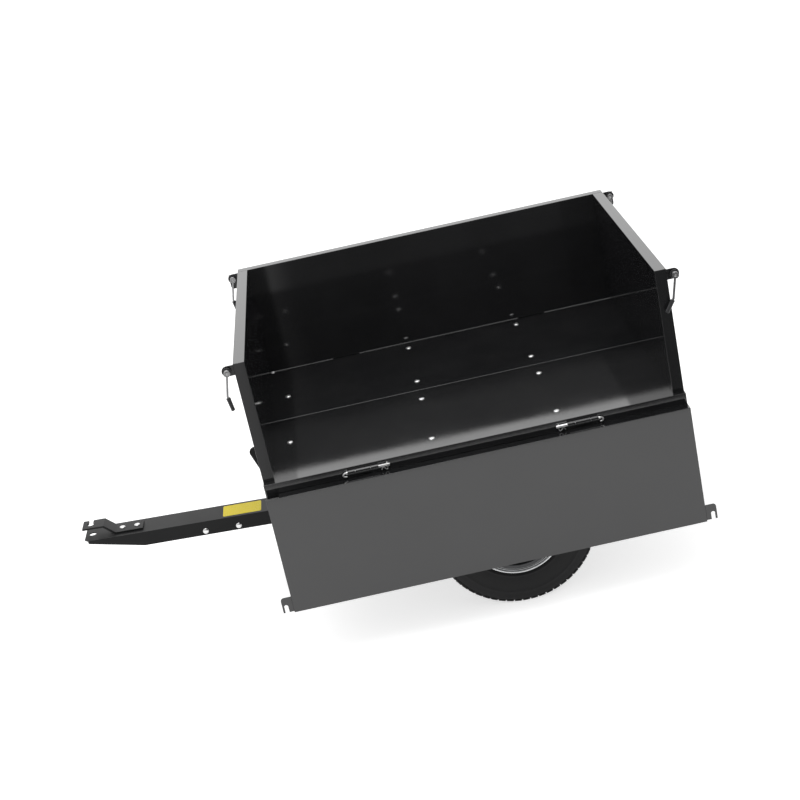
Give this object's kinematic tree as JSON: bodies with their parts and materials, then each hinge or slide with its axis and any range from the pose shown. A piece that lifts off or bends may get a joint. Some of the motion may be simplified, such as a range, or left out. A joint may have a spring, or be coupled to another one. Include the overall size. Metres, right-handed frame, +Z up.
{
  "type": "tipping dump cart",
  "caption": "Tow-behind tipping dump cart with a steel tub, one side panel folded down, two tyres and a hinged drawbar.",
  "frame": {"origin": "axis of the hitch pin hole where it meets the top face of the drawbar", "axes": "+X runs from the hitch to the rear, -Y is the near side with the open panel, +Z is up with the tub level"},
  "size_m": [1.6201, 0.8525, 0.801],
  "materials": {
    "black_powder_coat": "satin",
    "zinc_plate": "satin",
    "black_plastic": "matte",
    "valve_rubber": "matte",
    "tyre_rubber": "matte",
    "silver_rim_paint": "satin"
  },
  "bodies": {
    "drawbar": {"drawbar_front": "black_powder_coat", "drawbar_rear": "black_powder_coat", "drawbar_bolts": "zinc_plate", "drawbar_nuts": "zinc_plate", "hitch_strap": "black_powder_coat", "hitch_bolts": "zinc_plate", "pivot_tube": "black_powder_coat", "latch_bracket": "black_powder_coat", "handle_pivot_bolt": "zinc_plate"},
    "handle": {"release_handle": "black_powder_coat"},
    "tub": {"floor_near": "black_powder_coat", "floor_far": "black_powder_coat", "front_wall": "black_powder_coat", "rear_wall": "black_powder_coat", "latch_ears": "black_powder_coat", "floor_bolts": "zinc_plate", "floor_nuts": "zinc_plate", "wall_bolts": "zinc_plate", "cross_rail_front": "black_powder_coat", "cross_rail_rear": "black_powder_coat", "axle_leg_near": "black_powder_coat", "axle_leg_far": "black_powder_coat", "leg_bolts": "zinc_plate", "axle": "zinc_plate", "axle_washers": "zinc_plate", "cotter_pins": "zinc_plate", "front_stand": "black_powder_coat", "latch_striker": "zinc_plate", "hinge_brackets": "black_powder_coat", "hinge_pins": "zinc_plate", "hinge_clips": "zinc_plate", "latch_rings": "black_plastic"},
    "near_side": {"near_panel": "black_powder_coat", "near_hinge_leaves": "black_powder_coat", "near_hooks": "black_powder_coat"},
    "far_side": {"far_panel": "black_powder_coat", "far_hinge_leaves": "black_powder_coat", "far_hooks": "black_powder_coat"},
    "near_wheel": {"tyre_near": "tyre_rubber", "rim_near": "silver_rim_paint", "hub_near": "zinc_plate", "bearings_near": "black_plastic", "valve_near": "valve_rubber"},
    "far_wheel": {"tyre_far": "tyre_rubber", "rim_far": "silver_rim_paint", "hub_far": "zinc_plate", "bearings_far": "black_plastic", "valve_far": "valve_rubber"},
    "near_front_pin": {"latch_pin_near_front": "zinc_plate"},
    "near_front_lever": {"latch_lever_near_front": "zinc_plate", "latch_grip_near_front": "black_plastic"},
    "near_rear_pin": {"latch_pin_near_rear": "zinc_plate"},
    "near_rear_lever": {"latch_lever_near_rear": "zinc_plate", "latch_grip_near_rear": "black_plastic"},
    "far_front_pin": {"latch_pin_far_front": "zinc_plate"},
    "far_front_lever": {"latch_lever_far_front": "zinc_plate", "latch_grip_far_front": "black_plastic"},
    "far_rear_pin": {"latch_pin_far_rear": "zinc_plate"},
    "far_rear_lever": {"latch_lever_far_rear": "zinc_plate", "latch_grip_far_rear": "black_plastic"}
  },
  "joints": [
    {"name": "tub_tip", "type": "hinge", "parent": "drawbar", "child": "tub", "pos_m": [1.10244, 0, -0.0778], "axis": [0, 1, 0], "range_deg": [0, 48]},
    {"name": "latch_release", "type": "hinge", "parent": "drawbar", "child": "handle", "pos_m": [0.52544, 0, -0.00751], "axis": [0, 1, 0], "range_deg": [0, 18]},
    {"name": "near_wheel_spin", "type": "hinge", "parent": "tub", "child": "near_wheel", "pos_m": [1.10244, -0.3156, -0.0778], "axis": [0, 1, 0], "continuous": true},
    {"name": "far_wheel_spin", "type": "hinge", "parent": "tub", "child": "far_wheel", "pos_m": [1.10244, 0.3156, -0.0778], "axis": [0, 1, 0], "continuous": true},
    {"name": "near_panel_fold", "type": "hinge", "parent": "tub", "child": "near_side", "pos_m": [1.04544, -0.4105, 0.1922], "axis": [-1, 0, 0], "range_deg": [0, 173]},
    {"name": "far_panel_fold", "type": "hinge", "parent": "tub", "child": "far_side", "pos_m": [1.04544, 0.4105, 0.1922], "axis": [-1, 0, 0], "range_deg": [0, 180]},
    {"name": "near_front_pin_turn", "type": "hinge", "parent": "tub", "child": "near_front_pin", "pos_m": [0.50344, -0.3921, 0.5042], "axis": [0, 1, 0], "continuous": true},
    {"name": "near_front_lever_flip", "type": "hinge", "parent": "near_front_pin", "child": "near_front_lever", "pos_m": [0.50344, -0.3991, 0.5042], "axis": [-0.9781, 0, 0.2079], "range_deg": [0, 90]},
    {"name": "near_rear_pin_turn", "type": "hinge", "parent": "tub", "child": "near_rear_pin", "pos_m": [1.58744, -0.3921, 0.5042], "axis": [0, 1, 0], "continuous": true},
    {"name": "near_rear_lever_flip", "type": "hinge", "parent": "near_rear_pin", "child": "near_rear_lever", "pos_m": [1.58744, -0.3991, 0.5042], "axis": [-0.9781, 0, 0.2079], "range_deg": [0, 90]},
    {"name": "far_front_pin_turn", "type": "hinge", "parent": "tub", "child": "far_front_pin", "pos_m": [0.50344, 0.3784, 0.5042], "axis": [0, 1, 0], "range_deg": [-5, 170]},
    {"name": "far_front_lever_flip", "type": "hinge", "parent": "far_front_pin", "child": "far_front_lever", "pos_m": [0.50344, 0.3714, 0.5042], "axis": [-0.9781, 0, 0.2079], "range_deg": [0, 90]},
    {"name": "far_rear_pin_turn", "type": "hinge", "parent": "tub", "child": "far_rear_pin", "pos_m": [1.58744, 0.3784, 0.5042], "axis": [0, -1, 0], "range_deg": [0, 170]},
    {"name": "far_rear_lever_flip", "type": "hinge", "parent": "far_rear_pin", "child": "far_rear_lever", "pos_m": [1.58744, 0.3714, 0.5042], "axis": [-0.9976, 0, -0.0698], "range_deg": [0, 90]}
  ]
}
